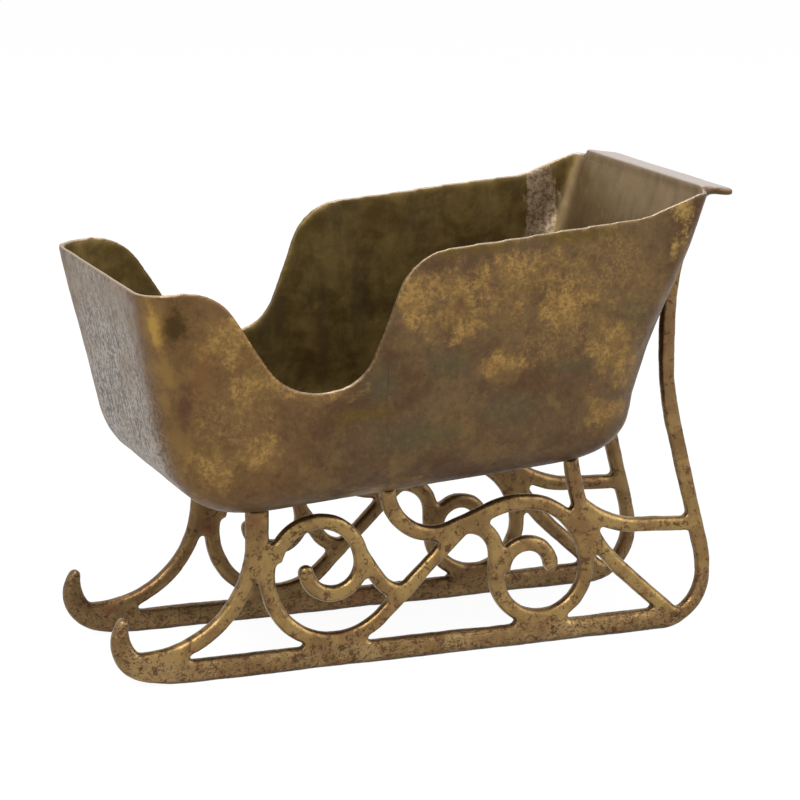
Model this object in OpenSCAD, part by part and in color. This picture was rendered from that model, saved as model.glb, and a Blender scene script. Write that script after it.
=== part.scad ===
// Small cast-brass model of a horse-drawn sleigh: a bathtub-shaped body on two
// scrolled runner frames.  +X is forward, +Y is the left side and the soles of
// the runners lie on z = 0.

/* [Runners] */
// Length over the toe and the heel
overall_len = 286.2; // [260:0.2:350]
// Distance between the middle planes of the two frames
track = 81.6; // [70:0.2:100]
// Height of the rail
rail_h = 9.9; // [8:0.1:12]
// Thickness of the rail, across the sleigh
rail_t = 6.4; // [5.4:0.1:8]
// Radius of the upturned toe, along the middle of the bar
toe_r = 16.6; // [13:0.1:19]
// Radius of the heel, along the middle of the bar
heel_r = 21.9; // [19:0.1:28]

/* [Scrollwork] */
// Width of a scroll bar, seen from the side
bar_w = 6.6; // [5.2:0.1:7.6]
// Thickness of a scroll bar, across the sleigh
bar_t = 6; // [5:0.1:7.4]
// Radius of the front leg
leg_r = 49; // [41:0.5:60]
// Radius of the large lower scroll
sweep_r = 31.4; // [26:0.2:38]
// Radius of the front scroll
crown_r = 20.4; // [18:0.1:24]
// Radius of the front scroll's tail
tail_r = 13.1; // [11:0.1:15]
// Radius of the hook that joins the middle bar to the body
hook_r = 23; // [19:0.5:27]
// Radius of the rear ring's lower half
ring_r = 22.2; // [19:0.1:26]
// Radius of the rear ring's upper quarter
ring_top_r = 32.6; // [28:0.2:38]
// Radius of the small curl inside the rear ring
curl_r = 11.7; // [9.6:0.1:14]

/* [Body] */
// Height of the body's underside above the ground, at mid-length
floor_z = 80; // [72:0.5:96]
// Slope of the floor, rising to the rear
floor_slope = 3.6; // [2:0.1:5]
// Flat floor ahead of the middle
floor_front = 79; // [70:0.5:90]
// Flat floor behind the middle
floor_rear = 67.3; // [60:0.5:80]
// Half width of the flat floor
floor_half = 42.5; // [38:0.5:52]
// Thickness of the walls and the floor
wall = 3; // [2:0.1:3.8]
// Height of the seat part of the rim above the floor's underside
seat_rim_h = 109.4; // [90:0.2:135]
// Height of the step-in part of the rim
step_rim_h = 54.7; // [48:0.2:66]
// Height of the dash above the floor's underside
dash_h = 106.2; // [90:0.2:130]
// Height of the back above the floor's underside
back_h = 117; // [112:0.2:145]

/* [Body curves] */
// Bottom radius under the dash
dash_r = 42; // [35:0.5:50]
// Bottom radius under the back
back_r = 34; // [28:0.5:41]
// Bottom radius along the sides
side_r = 26; // [22:0.5:30]
// Lean of the dash from the floor's normal
dash_lean = 7.2; // [3:0.2:14]
// Lean of the back from the floor's normal
back_lean = 20.6; // [14:0.2:25]
// Lean of the sides from the floor's normal
side_lean = 3; // [1:0.5:8]
// Corner radius at the floor
corner_low = 14; // [10:0.5:18]
// Corner radius part of the way up, where it is largest
corner_mid = 27; // [22:0.5:34]
// Corner radius at the dash's rim
corner_top = 16; // [12:0.5:21]
// Corner radius at the back's rim
back_corner_top = 8; // [4:0.5:12]
// Share by which the width grows per millimetre towards the dash
taper = 0.00035; // [0:0.00005:0.0006]

/* [Lip] */
// Depth of the lip behind the back's inner face
lip_len = 17.4; // [14:0.5:24]
// Thickness of the lip
lip_t = 3.8; // [2.5:0.1:5]
// Slope of the lip's top, falling to the rear
lip_slope = 10.8; // [6:0.5:15]

/* [Hidden] */
clear = 0.1;                     // gap left where one bar lies along another's curve
seat = 1.2;                      // depth that a round bar is let into the rail
step_deg = 6;                    // angle between points of a round stretch
heel_x = -overall_len / 2 + heel_r + bar_w / 2;
toe_x = overall_len / 2 - toe_r - rail_h / 2;
half_w = bar_w / 2;

// ---------------------------------------------------------------- paths

function unit(v) = v / norm(v);
function turn_left(v) = [-v[1], v[0]];

// Points on a circle from angle a0 to angle a1, ends included
function arc(c, r, a0, a1) =
    let (n = max(2, ceil(abs(a1 - a0) / step_deg)))
    [for (i = [0:n]) let (a = a0 + (a1 - a0) * i / n) c + r * [cos(a), sin(a)]];

// A line through corner points [x, z, radius], each corner rounded; a corner
// with less room than its radius needs is rounded as far as its sides allow
function corner_arc(a, b, c) =
    let (
        u = unit([b[0] - a[0], b[1] - a[1]]),
        v = unit([c[0] - b[0], c[1] - b[1]]),
        side = sign(u[0] * v[1] - u[1] * v[0]),
        turn = acos(max(-1, min(1, u * v))),
        room = 0.95 * min(norm([b[0] - a[0], b[1] - a[1]]), norm([c[0] - b[0], c[1] - b[1]])),
        r = min(b[2], room / max(0.001, tan(turn / 2))),
        back_off = r * tan(turn / 2),
        centre = [b[0], b[1]] - back_off * u + side * r * turn_left(u),
        start = atan2(-side * turn_left(u)[1], -side * turn_left(u)[0])
    )
    arc(centre, r, start, start + side * turn);
function rounded(pts) = [
    [pts[0][0], pts[0][1]],
    for (i = [1:1:len(pts) - 2]) each corner_arc(pts[i - 1], pts[i], pts[i + 1]),
    [pts[len(pts) - 1][0], pts[len(pts) - 1][1]]
];

// The outline of a bar of width w along a path
function path_dir(p, i) =
    unit(p[min(i + 1, len(p) - 1)] - p[max(i - 1, 0)]);
function edge_of(p, d) = [for (i = [0:len(p) - 1]) p[i] + d * turn_left(path_dir(p, i))];
// The same edge, drawing in to share tip over the last n points
function tapered_edge(p, d, n, tip) = [
    for (i = [0:len(p) - 1])
        let (t = max(0, i - (len(p) - 1 - n)) / n)
        p[i] + d * (1 - (1 - tip) * t * t) * turn_left(path_dir(p, i))
];
// The place on a path at height z
function path_at(p, z) = [lookup(z, [for (q = p) [q[1], q[0]]]), z];
function reversed(p) = [for (i = [len(p) - 1:-1:0]) p[i]];
// A round cap at the last point, from the right edge round to the left
function cap_of(p, w) =
    let (d = path_dir(p, len(p) - 1), a = atan2(d[1], d[0]))
    [for (t = [-75:15:75]) p[len(p) - 1] + w / 2 * [cos(a + t), sin(a + t)]];
module stroke(p, w = bar_w, round_tip = false) {
    tip = round_tip ? cap_of(p, w) : [];
    polygon(concat(edge_of(p, -w / 2), tip, reversed(edge_of(p, w / 2))));
}

// ---------------------------------------------------------------- body walls

// Height of the floor's underside at a place x along the sleigh
function floor_at(x) = floor_z - x * tan(floor_slope);

// How far a wall reaches out from the flat floor at height h: an arc of radius
// r, then a straight wall that leans out.  inset moves it inwards.
function reach(r, lean, h, inset) =
    let (q = r - inset, top = r - q * sin(lean))
    h < top ? q * sin(acos(max(-1, min(1, (r - h) / q))))
            : q * cos(lean) + (h - top) * tan(lean);
// The corner radius at height h: low at the floor, widest part of the way up,
// then down to its value at the rim
corner_mid_h = 33.6;
corner_top_h = 112;
function ease(t) = let (u = max(0, min(1, t))) u * u * (3 - 2 * u);
function corner_at(h, top) =
    h < wall + corner_mid_h
        ? corner_low + (corner_mid - corner_low) * ease((h - wall) / corner_mid_h)
        : corner_mid + (top - corner_mid) * ease((h - wall - corner_mid_h) / (corner_top_h - corner_mid_h));

// A station on the wall is [kind, q, side, rim height]:
// kind 0 back, 1 rear corner, 2 side, 3 front corner, 4 dash; q is an angle
// on a corner and a share of the length elsewhere; side is 1 left, -1 right.
// corner_inset is how much smaller the corner radius is there.
function wall_xy(st, h, inset, corner_inset = 0) =
    let (
        k = st[0],
        q = st[1],
        front = floor_front + reach(dash_r, dash_lean, h, inset),
        rear = -floor_rear - reach(back_r, back_lean, h, inset),
        w = floor_half + reach(side_r, side_lean, h, inset),
        b = corner_at(h, back_corner_top) - corner_inset,
        d = corner_at(h, corner_top) - corner_inset,
        p = k == 0 ? [rear, q * (w - b)]
          : k == 1 ? [rear + b - b * cos(q), w - b + b * sin(q)]
          : k == 2 ? [rear + b + q * (front - rear - b - d), w]
          : k == 3 ? [front - d + d * sin(q), w - d + d * cos(q)]
          :          [front, q * (w - d)]
    )
    [p[0], st[2] * p[1] * (1 + taper * p[0])];
function station_r(st) =
    st[0] == 0 ? back_r
  : st[0] == 1 ? back_r + (side_r - back_r) * st[1] / 90
  : st[0] == 2 ? side_r
  : st[0] == 3 ? side_r + (dash_r - side_r) * st[1] / 90
  :              dash_r;
turn_deg = 87;                   // how far the underside turns before the wall runs straight
round_rows = 7;
flat_rows = 4;
rows = round_rows + flat_rows;
function row_h(st, j, inset) =
    let (r = station_r(st), top = r - (r - inset) * sin(90 - turn_deg))
    j <= round_rows ? r - (r - inset) * cos(turn_deg * j / round_rows)
                    : top + (st[3] - top) * (j - round_rows) / flat_rows;
function wall_point(st, j, inset) =
    let (
        h = row_h(st, j, inset),
        corner_inset = inset * sin(min(90, turn_deg * j / round_rows)),
        p = wall_xy(st, h, inset, corner_inset)
    )
    [p[0], p[1], h];

// The side panel's rim, from the rear corner to the front corner
rear_corner_a = -floor_rear - reach(back_r, back_lean, seat_rim_h, 0) + back_corner_top;
front_corner_a = floor_front + reach(dash_r, dash_lean, dash_h, 0) - corner_top;
rise_deg = 65;
wing_deg = 61;
wing_len = 17;                   // level part of the rim behind the dash's corner
step_len = 34.3;                 // length of the step-in part, between its slopes
sweep_len = 20;                  // where the rim's sweep up to the lip begins
sweep_rise = 2.2;
sweep_bend_r = 30;
shoulder_bend_r = 26;
step_rear_bend_r = 22;
step_front_bend_r = 28;
wing_bend_r = 28;
corner_rim_drop = 2;             // from the lip's top down to the rim's corners
corner_rim_h = back_h + lip_t - corner_rim_drop;
step_front = front_corner_a - wing_len - (dash_h - step_rim_h) / tan(wing_deg);
step_rear = step_front - step_len;
shoulder_a = step_rear - (seat_rim_h - step_rim_h) / tan(rise_deg);
side_rim = rounded([
    [rear_corner_a, corner_rim_h],
    [rear_corner_a + sweep_len, seat_rim_h + sweep_rise, sweep_bend_r],
    [shoulder_a, seat_rim_h, shoulder_bend_r],
    [step_rear, step_rim_h, step_rear_bend_r],
    [step_front, step_rim_h, step_front_bend_r],
    [front_corner_a - wing_len, dash_h, wing_bend_r],
    [front_corner_a, dash_h]
]);
// The share of the side's length at which a rim point stands
function rim_share(p) =
    let (
        front = floor_front + reach(dash_r, dash_lean, p[1], 0) - corner_at(p[1], corner_top),
        rear = -floor_rear - reach(back_r, back_lean, p[1], 0) + corner_at(p[1], back_corner_top)
    )
    max(0, min(1, (p[0] - rear) / (front - rear)));
function side_stations(s) = [
    for (i = [0:len(side_rim) - 1])
        let (p = side_rim[i])
        [2, i == 0 ? 0 : i == len(side_rim) - 1 ? 1 : rim_share(p), s, p[1]]
];
corner_steps = 6;
dash_stations = [
    for (i = [0:corner_steps]) [3, 90 * i / corner_steps, 1, dash_h],
    for (q = [0.5, 0, -0.5]) [4, q, 1, dash_h],
    for (i = [corner_steps:-1:0]) [3, 90 * i / corner_steps, -1, dash_h]
];
corner_rise_steps = 2;
function corner_rise(i) = back_h + (corner_rim_h - back_h) * min(1, i / corner_rise_steps);
back_stations = [
    for (i = [corner_steps:-1:0]) [1, 90 * i / corner_steps, -1, corner_rise(i)],
    for (q = [-0.5, 0, 0.5]) [0, q, 1, back_h],
    for (i = [0:corner_steps]) [1, 90 * i / corner_steps, 1, corner_rise(i)]
];

// A closed shell over a row of stations, with outer and inner skins
module shell(stations) {
    n = len(stations);
    m = rows + 1;
    points = [
        for (inset = [0, wall], st = stations, j = [0:rows]) wall_point(st, j, inset)
    ];
    function at(skin, i, j) = skin * n * m + i * m + j;
    skins = [
        for (i = [0:n - 2], j = [0:rows - 1])
            each [
                [at(0, i, j), at(0, i, j + 1), at(0, i + 1, j + 1)],
                [at(0, i, j), at(0, i + 1, j + 1), at(0, i + 1, j)],
                [at(1, i, j), at(1, i + 1, j + 1), at(1, i, j + 1)],
                [at(1, i, j), at(1, i + 1, j), at(1, i + 1, j + 1)]
            ]
    ];
    edges = [
        for (i = [0:n - 2])
            each [
                [at(0, i, rows), at(1, i, rows), at(1, i + 1, rows)],
                [at(0, i, rows), at(1, i + 1, rows), at(0, i + 1, rows)],
                [at(0, i, 0), at(1, i + 1, 0), at(1, i, 0)],
                [at(0, i, 0), at(0, i + 1, 0), at(1, i + 1, 0)]
            ]
    ];
    ends = [
        for (j = [0:rows - 1])
            each [
                [at(0, 0, j), at(1, 0, j), at(1, 0, j + 1)],
                [at(0, 0, j), at(1, 0, j + 1), at(0, 0, j + 1)],
                [at(0, n - 1, j), at(1, n - 1, j + 1), at(1, n - 1, j)],
                [at(0, n - 1, j), at(0, n - 1, j + 1), at(1, n - 1, j + 1)]
            ]
    ];
    polyhedron(points, concat(skins, edges, ends), convexity = 6);
}

// Puts something drawn level on the floor's underside where the body sits
module on_body() {
    translate([0, 0, floor_z]) rotate([0, floor_slope, 0]) children();
}
module floor_pan() {
    corner = [for (i = [0:corner_steps]) 90 * i / corner_steps];
    left = concat(
        [for (q = corner) wall_xy([1, q, 1], 0, 0)],
        [for (q = corner) wall_xy([3, q, 1], 0, 0)]
    );
    right = [for (p = reversed(left)) [p[0], -p[1]]];
    color("#5d4a2c") on_body() linear_extrude(wall) polygon(concat(left, right));
}
module dash_panel() {
    color("#8f8577") on_body() shell(dash_stations);
}
module back_panel() {
    color("#6b5335") on_body() shell(back_stations);
}
module side_panel() {
    color("#7a5f38") on_body() shell(side_stations(1));
}

// ---------------------------------------------------------------- lip

// The lip's side view, in the body's own frame: flat where it sits on the
// back's rim, then a top that slopes down to a rounded rear edge
back_outer = -floor_rear - reach(back_r, back_lean, back_h, 0);
back_inner = -floor_rear - reach(back_r, back_lean, back_h, wall);
lip_crown = 0.5;                 // how far the top stands above the lip's thickness
lip_top = back_h + lip_t + lip_crown;
bead_r = lip_t * 0.55;
underside = [1, 0.6];            // where the underside leaves the bead, along and in bead radii
root_len = 3;                    // the thicker root outside the back panel
root_low = 1.2;
rebate_w = 0.6;                  // the rib that laps the back panel's outer face
rebate_low = 1.8;
rebate_gap = 0.05;
lip_end = back_inner - lip_len;
bead = [lip_end + bead_r, lip_top - lip_len * tan(lip_slope) - bead_r];
module lip_outline() {
    polygon(concat(
        [[back_inner, back_h], [back_inner, lip_top]],
        arc(bead, bead_r, 90, 270),
        [
            [lip_end + 2 * bead_r + underside[0], bead[1] - bead_r * underside[1]],
            [back_outer - root_len, back_h - root_low],
            [back_outer - rebate_w, back_h - rebate_low],
            [back_outer - rebate_gap, back_h]
        ]
    ));
}
lip_half = floor_half + reach(side_r, side_lean, back_h, 0) - back_corner_top;
module rear_lip() {
    width = 2 * lip_half * (1 + taper * back_inner);
    color("#b9ae9c") on_body() rotate([90, 0, 0]) linear_extrude(width, center = true) lip_outline();
}

// ---------------------------------------------------------------- frames

// A frame is drawn flat as [x, z]; plate() stands a bar up in its frame
module plate(thick = bar_t) {
    rotate([90, 0, 0]) linear_extrude(thick, center = true) children();
}
// A place [a, h] in the body's own frame, as [x, z]
function body_xz(p) = [
    p[0] * cos(floor_slope) + p[1] * sin(floor_slope),
    floor_z - p[0] * sin(floor_slope) + p[1] * cos(floor_slope)
];
above = 8;                       // how far a bar runs on before the body cuts it

// The body's side view between the frames' tops, for cutting them to length
under_y = track / 2 - bar_t / 2 - floor_half;
under_rise = under_y > 0 ? side_r - sqrt(side_r * side_r - under_y * under_y) : 0;
module body_2d() {
    front_end = [floor_front + dash_r, dash_r];
    rear_end = [-floor_rear - reach(back_r, back_lean, back_h, 0), back_h];
    outline = concat(
        arc([-floor_rear, back_r], back_r, 180 + back_lean, 270),
        arc([floor_front, dash_r], dash_r, 270, 360)
    );
    translate([0, under_rise])
        polygon([for (p = concat([rear_end], outline, [[front_end[0], back_h]])) body_xz(p)]);
}
module lip_2d() {
    translate([0, floor_z]) rotate(-floor_slope) lip_outline();
}

// Runner: the rail, its upturned toe and its heel
rail_mid = rail_h / 2;
bend_deg = 12;
bend_r = 85;
toe_points = 11;                 // points over which the toe narrows
toe_start_deg = -84;             // where the toe's bend starts, before the rail's own bend
toe_end_deg = 22;                // where the toe ends, above its own centre
toe_tip = 0.5;                   // its width at the tip, as a share of the rail's
toe_c = [toe_x, rail_mid + bend_r * (1 - cos(bend_deg)) + toe_r * cos(bend_deg)];
heel_c = [heel_x, heel_r + half_w];
module runner_2d() {
    bend_x = toe_x + (toe_r - bend_r) * sin(bend_deg);
    rail = concat(
        [[heel_x, rail_mid]],
        arc([bend_x, rail_mid + bend_r], bend_r, -90, -90 + bend_deg),
        arc(toe_c, toe_r, toe_start_deg + bend_deg, toe_end_deg)
    );
    polygon(concat(
        tapered_edge(rail, -rail_h / 2, toe_points, toe_tip),
        cap_of(rail, rail_h * toe_tip),
        reversed(tapered_edge(rail, rail_h / 2, toe_points, toe_tip))
    ));
    stroke(arc(heel_c, heel_r, 180, 270));
}

// Front leg: from the rail behind the toe up to the body
leg_setback = 1.6;
leg_x = floor_front - leg_setback;
leg_c = [leg_x + leg_r, rail_h + half_w - seat + leg_r];
leg_foot_deg = 273;              // the leg's bend runs past the rail's top by 3 degrees
stub_low = 56;                   // where the leg's straight top starts to be doubled
stub_lap = 1;
module front_leg_2d() {
    top = floor_at(leg_x) + above;
    difference() {
        union() {
            stroke(concat(arc(leg_c, leg_r, leg_foot_deg, 180), [[leg_x, top]]));
            translate([leg_x - bar_w, stub_low]) square([bar_w + stub_lap, top - stub_low]);
        }
        runner_2d();
        body_2d();
    }
}

// Middle bar: hooks down from the body and swings up to the ring's crest
ring_x = -58.7;
ring_c = [ring_x, rail_h + half_w - seat + ring_r];
ring_top_c = [ring_x - ring_r + ring_top_r, ring_c[1]];
crest = ring_top_c + [0, ring_top_r];
crest_r = 39;
crest_reach = 7.2;               // from the crest to where the bar bends down
hook_x = 15.6;
hook_z = 46.5;
hook_corner = [hook_x, hook_z, hook_r];
crest_corner = [crest[0] + crest_reach, crest[1], crest_r];
module middle_bar_2d() {
    difference() {
        stroke(rounded([[hook_x, floor_at(hook_x) + above], hook_corner, crest_corner, crest]));
        body_2d();
    }
}
// A place on the straight part of the middle bar
function middle_at(x) = [
    x,
    hook_corner[1] + (hook_x - x) * (crest[1] - hook_corner[1]) / (hook_x - crest_corner[0])
];

// Lower scroll: from the leg round under the front scroll, then up to the
// middle bar along a tangent
leg_lap = 0.6;                   // how far the scroll's bend reaches into the leg
sweep_start_deg = 14;
sweep_tip = [-1.2, 2];           // the scroll's first point, from the bend's side and the stub's foot
sweep_c = [leg_x - 2 * half_w - sweep_r + leg_lap, rail_h + half_w - seat + sweep_r];
sweep_top_x = -24;               // where the lower scroll meets the middle bar
sweep_top = middle_at(sweep_top_x);
sweep_span = sweep_top - sweep_c;
sweep_leave = atan2(sweep_span[1], sweep_span[0]) + acos(sweep_r / norm(sweep_span)) - 360;
sweep_end = sweep_c + sweep_r * [cos(sweep_leave), sin(sweep_leave)];
module lower_scroll_2d() {
    difference() {
        stroke(concat(
            [[sweep_c[0] + sweep_r + sweep_tip[0], stub_low + sweep_tip[1]]],
            arc(sweep_c, sweep_r, sweep_start_deg, sweep_leave),
            [sweep_top]
        ));
        runner_2d();
        front_leg_2d();
        middle_bar_2d();
    }
}

// Front scroll: over the top, then its tail curls in
tail_x = 40.8;
tail_lift = 2.9;                 // above the lower scroll's centre
tail_c = [tail_x, sweep_c[1] + tail_lift];
crown_c = [tail_c[0] - tail_r + crown_r, tail_c[1]];
tail_end_deg = 350;
crown_start_deg = 12;
module front_scroll_2d() {
    difference() {
        stroke(concat(
            arc(crown_c, crown_r, crown_start_deg, 180),
            arc(tail_c, tail_r, 180 + step_deg, tail_end_deg)
        ), round_tip = true);
        front_leg_2d();
        lower_scroll_2d();
    }
}

// Branch: leaves the front scroll and lands on the lower scroll's rise
branch_z = 31.2;
branch_deg = 143;
branch_root = 0.4;               // how far inside the scroll's middle line it starts
branch_knee = 8.7;
branch_bend_r = 14;
branch_land = sweep_end + (sweep_top - sweep_end) * (branch_z - sweep_end[1]) / (sweep_top[1] - sweep_end[1]);
module scroll_branch_2d() {
    difference() {
        stroke(rounded([
            crown_c + (crown_r - branch_root) * [cos(branch_deg), sin(branch_deg)],
            [branch_land[0] + branch_knee, branch_z, branch_bend_r],
            branch_land
        ]));
        translate(crown_c) circle(r = crown_r + half_w + clear, $fn = 96);
        lower_scroll_2d();
    }
}

// Rear leg: from the body down to the heel in one long bend
ring_left = ring_x - ring_r;
knee_in = 2.4;                   // knee and top, forward of the ring's rear side
knee_z = 48.4;
knee_r = 77;
top_in = 7.8;
knee = [ring_left + knee_in, knee_z, knee_r];
rear_leg_x = ring_left + top_in;
top_slant = 0.2;                 // run forward for each rise, inside the body
leg_run = 45.8;                  // how far back of the ring the leg lands
rear_leg_land = ring_left - leg_run;
rear_leg_path = rounded([
    [rear_leg_x + above * top_slant, floor_at(rear_leg_x) + above],
    knee,
    [rear_leg_land, rail_mid]
]);
module rear_leg_2d() {
    difference() {
        stroke(rear_leg_path);
        runner_2d();
        body_2d();
    }
}

// Rear ring: from the crest round to an arch under the middle bar
arch_r = 14;
arch_z = 44;
module rear_ring_2d() {
    difference() {
        stroke(concat(
            arc(ring_top_c, ring_top_r, 90, 180),
            arc(ring_c, ring_r, 180 + step_deg, 360),
            arc([ring_x + ring_r + arch_r, arch_z], arch_r, 180, 90)
        ));
        runner_2d();
        middle_bar_2d();
        lower_scroll_2d();
        rear_leg_2d();
    }
}

// Rear curl: a small hook inside the ring
curl_lift = 1.3;
curl_end_deg = 174;
curl_c = [ring_x + ring_r - half_w - curl_r, ring_c[1] + curl_lift];
module rear_curl_2d() {
    difference() {
        stroke(arc(curl_c, curl_r, 0, curl_end_deg), round_tip = true);
        rear_ring_2d();
    }
}

// Rear post: from the heel up behind the body to the lip
post_x = -119.4;
post_low_rise = 7.3;
post_mid_z = 112;
post_high_z = 170.2;
post_low_r = 90;
post_bend_r = 130;
post_seat = [7.5, 0.4];          // the top's place on the lip, behind and below the back's edge
post_low = [heel_x - heel_r, heel_c[1] + post_low_rise, post_low_r];
post_mid = [post_x, post_mid_z, post_bend_r];
post_high = [post_x, post_high_z, post_bend_r];
post_top = body_xz([back_outer - post_seat[0], back_h - post_seat[1]]);
post_path = rounded([[heel_x - heel_r, heel_c[1]], post_low, post_mid, post_high, post_top]);
module rear_post_2d() {
    difference() {
        stroke(post_path);
        runner_2d();
        body_2d();
        lip_2d();
    }
}

// Tie bar: from the rear leg back to the post
tie_z = 48.8;
tie_start_z = 64;
tie_start = path_at(rear_leg_path, tie_start_z);
tie_knee = tie_start + [-12.2, -12.1];
tie_bend_r = 45;
module tie_bar_2d() {
    difference() {
        stroke(rounded([tie_start, concat(tie_knee, [tie_bend_r]), path_at(post_path, tie_z)]));
        rear_leg_2d();
        rear_post_2d();
    }
}

module runner() { color("#7d6132") plate(rail_t) runner_2d(); }
module front_leg() { color("#9a7a44") plate() front_leg_2d(); }
module lower_scroll() { color("#a07f48") plate() lower_scroll_2d(); }
module front_scroll() { color("#94743f") plate() front_scroll_2d(); }
module scroll_branch() { color("#a07f48") plate() scroll_branch_2d(); }
module middle_bar() { color("#9a7a44") plate() middle_bar_2d(); }
module rear_ring() { color("#94743f") plate() rear_ring_2d(); }
module rear_curl() { color("#a07f48") plate() rear_curl_2d(); }
module rear_leg() { color("#9a7a44") plate() rear_leg_2d(); }
module tie_bar() { color("#a07f48") plate() tie_bar_2d(); }
module rear_post() { color("#84652f") plate() rear_post_2d(); }
module left() { translate([0, track / 2, 0]) children(); }
module right() { translate([0, -track / 2, 0]) children(); }

floor_pan();
dash_panel();
side_panel();  // left_side_panel
mirror([0, 1, 0]) side_panel();  // right_side_panel
back_panel();
rear_lip();
left() runner();  // left_runner
left() front_leg();  // left_front_leg
left() lower_scroll();  // left_lower_scroll
left() front_scroll();  // left_front_scroll
left() scroll_branch();  // left_scroll_branch
left() middle_bar();  // left_middle_bar
left() rear_ring();  // left_rear_ring
left() rear_curl();  // left_rear_curl
left() rear_leg();  // left_rear_leg
left() tie_bar();  // left_tie_bar
left() rear_post();  // left_rear_post
right() runner();  // right_runner
right() front_leg();  // right_front_leg
right() lower_scroll();  // right_lower_scroll
right() front_scroll();  // right_front_scroll
right() scroll_branch();  // right_scroll_branch
right() middle_bar();  // right_middle_bar
right() rear_ring();  // right_rear_ring
right() rear_curl();  // right_rear_curl
right() rear_leg();  // right_rear_leg
right() tie_bar();  // right_tie_bar
right() rear_post();  // right_rear_post
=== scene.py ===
"""Looks of the small cast-brass sleigh: rounded, filleted castings in aged brass.

Lengths are in metres, in the same frame as the CAD: +X forward, +Y left, +Z up.
"""

import math

import bmesh
import bpy
from mathutils import Matrix, Vector, noise
from mathutils.kdtree import KDTree


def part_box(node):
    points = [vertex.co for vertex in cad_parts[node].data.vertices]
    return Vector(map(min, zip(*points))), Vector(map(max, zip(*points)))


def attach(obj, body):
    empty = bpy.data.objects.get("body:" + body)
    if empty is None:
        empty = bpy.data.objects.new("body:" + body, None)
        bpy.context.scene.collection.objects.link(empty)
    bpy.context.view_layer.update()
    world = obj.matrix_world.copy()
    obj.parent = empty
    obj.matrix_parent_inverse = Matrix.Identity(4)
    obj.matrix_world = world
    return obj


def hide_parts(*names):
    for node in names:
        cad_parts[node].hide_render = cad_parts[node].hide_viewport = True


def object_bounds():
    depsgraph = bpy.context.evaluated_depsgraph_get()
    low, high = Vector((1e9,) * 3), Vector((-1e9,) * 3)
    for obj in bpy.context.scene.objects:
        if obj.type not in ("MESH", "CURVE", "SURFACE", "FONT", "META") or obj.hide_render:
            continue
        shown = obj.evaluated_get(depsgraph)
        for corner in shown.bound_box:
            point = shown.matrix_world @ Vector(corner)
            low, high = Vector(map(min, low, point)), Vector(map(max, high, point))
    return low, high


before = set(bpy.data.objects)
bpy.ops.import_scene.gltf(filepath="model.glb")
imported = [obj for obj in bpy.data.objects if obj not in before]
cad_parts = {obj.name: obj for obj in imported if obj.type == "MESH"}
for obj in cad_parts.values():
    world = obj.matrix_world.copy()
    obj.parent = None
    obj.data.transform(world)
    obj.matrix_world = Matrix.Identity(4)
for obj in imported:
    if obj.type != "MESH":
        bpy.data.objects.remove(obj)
cad_lo, cad_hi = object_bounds()

# ---------------------------------------------------------------- sizes

BODY_NODES = ["floor_pan", "dash_panel", "left_side_panel", "right_side_panel", "back_panel", "rear_lip"]
SCROLL_NODES = [
    "front_leg", "lower_scroll", "front_scroll", "scroll_branch", "middle_bar",
    "rear_ring", "rear_curl", "rear_leg", "tie_bar", "rear_post",
]
MERGE = 2e-5            # vertices nearer than this are one
BODY_VOXEL = 0.00110
BODY_SWELL = 0.0005     # how far the skin is swollen before it is smoothed
BODY_ROUNDS = 9
BAR_VOXEL = 0.00066
BAR_SWELL = 0.0010
BAR_SHRINK = 0.0006     # what rounding and smoothing take off a bar
BAR_ROUNDS = 11
BAR_ROUNDNESS = 0.85    # 0 leaves a square section, 1 makes a round one
BODY_WAVE = 0.00016     # the casting's slow unevenness
BAR_WAVE = 0.00034
PIT = 0.00006           # its fine grain
CUT_MARGIN = 0.0012     # how far past a CAD node its piece of the casting reaches
SMOOTH_SHARE = 0.5      # how far one round of smoothing moves a vertex
WALL_TILT = 0.5         # a bar's vertex whose normal leans less than this to y is on a wall
SLOW_WAVES = 46         # the unevenness' waves per metre
MID_WAVES = 150
FINE_WAVES = 620
MID_SHARE = 0.6         # height of the middle waves as a share of the slow ones
SEED_SHIFT = (3.1, 1.7, 5.3)
SHARP_DEG = 48          # edges that bend more than this are shaded as sharp
HUB_RISE = 0.045        # height above the floor of the line that inside and outside are judged from
HUB_REACH = 0.62        # half length of that line as a share of the body's half length
FLOOR_BAND = 0.02       # this far below the line the floor begins
# the rim found this way is painted pale, a painted sheen of the overhead light
RIM_TILT = 0.55         # skin above the line that faces up more than this is rim
MASK_SOFTNESS = 3       # slope of the masks' edges

# ---------------------------------------------------------------- castings


def welded_copy(name):
    """A separate copy of a CAD node's mesh with its split vertices joined."""
    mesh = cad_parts[name].data.copy()
    bm = bmesh.new()
    bm.from_mesh(mesh)
    bmesh.ops.remove_doubles(bm, verts=bm.verts, dist=MERGE)
    bmesh.ops.recalc_face_normals(bm, faces=bm.faces)
    bm.to_mesh(mesh)
    bm.free()
    mesh.materials.clear()
    obj = bpy.data.objects.new("part_" + name, mesh)
    bpy.context.scene.collection.objects.link(obj)
    return obj


def baked(obj):
    """Replaces an object's mesh with the result of its modifiers."""
    graph = bpy.context.evaluated_depsgraph_get()
    graph.update()
    mesh = bpy.data.meshes.new_from_object(obj.evaluated_get(graph))
    obj.modifiers.clear()
    obj.data = mesh
    return obj


def joined(names, label):
    """Copies of several nodes in one object, each still a closed shell."""
    bm = bmesh.new()
    for name in names:
        part = welded_copy(name)
        bm.from_mesh(part.data)
        bpy.data.objects.remove(part)
    mesh = bpy.data.meshes.new(label)
    bm.to_mesh(mesh)
    bm.free()
    obj = bpy.data.objects.new(label, mesh)
    bpy.context.scene.collection.objects.link(obj)
    return obj


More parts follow.
